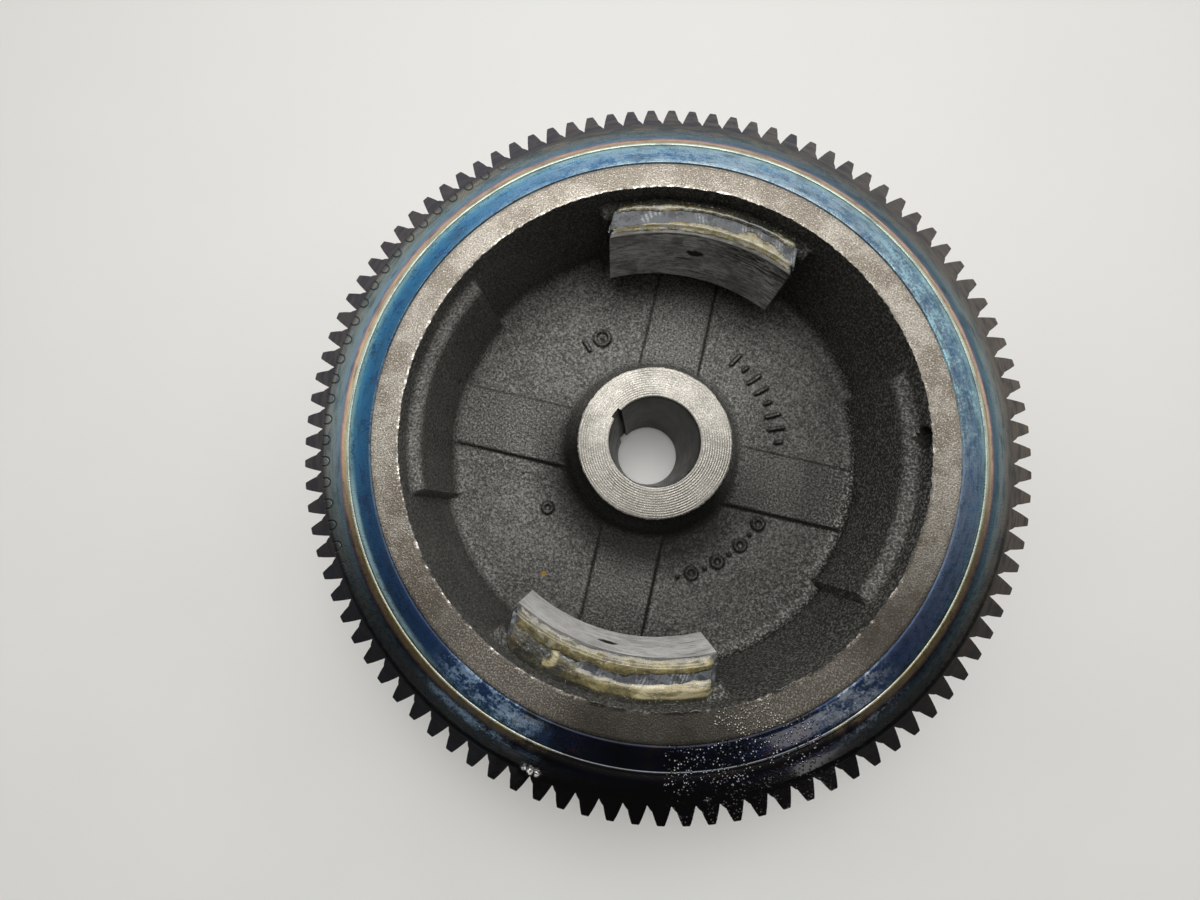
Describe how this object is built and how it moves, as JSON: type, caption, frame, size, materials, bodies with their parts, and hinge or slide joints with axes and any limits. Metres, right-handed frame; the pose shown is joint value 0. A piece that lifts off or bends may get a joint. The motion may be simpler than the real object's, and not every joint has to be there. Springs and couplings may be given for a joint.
{
  "type": "engine flywheel with starter ring gear",
  "caption": "Cup-shaped cast-iron flywheel with a starter ring gear, two charging magnets inside the cup and an ignition magnet group in the rim.",
  "frame": {"origin": "centre of the fan-side boss face, the lowest face of the part, on the crankshaft axis", "axes": "+Z along the crankshaft axis, out of the open cup towards the engine; the charging magnets lie on +Y and -Y, the bare magnet seats on +X and -X"},
  "size_m": [0.2272, 0.2272, 0.0635],
  "materials": {
    "cast_iron": "sand-cast skin with machined faces",
    "tempered_steel": "turned steel with blue and straw heat tints",
    "ferrite": "sintered and ground ferrite",
    "plate_steel": "brushed steel",
    "adhesive": "cured amber epoxy",
    "potting": "dark filled resin",
    "shoe_steel": "turned steel",
    "screw_steel": "black oxide"
  },
  "bodies": {
    "root": {"flywheel_casting": "cast_iron", "starter_ring_gear": "tempered_steel", "charge_magnet_upper": "ferrite", "charge_magnet_lower": "ferrite", "pole_plate_upper": "plate_steel", "pole_plate_lower": "plate_steel", "plate_adhesive_upper": "adhesive", "plate_adhesive_lower": "adhesive", "seat_adhesive_upper": "adhesive", "seat_adhesive_lower": "adhesive", "ignition_magnet": "ferrite", "ignition_potting": "potting", "ignition_pole_shoe_leading": "shoe_steel", "ignition_pole_shoe_trailing": "shoe_steel", "ignition_shoe_screw_leading": "screw_steel", "ignition_shoe_screw_trailing": "screw_steel"}
  },
  "joints": []
}
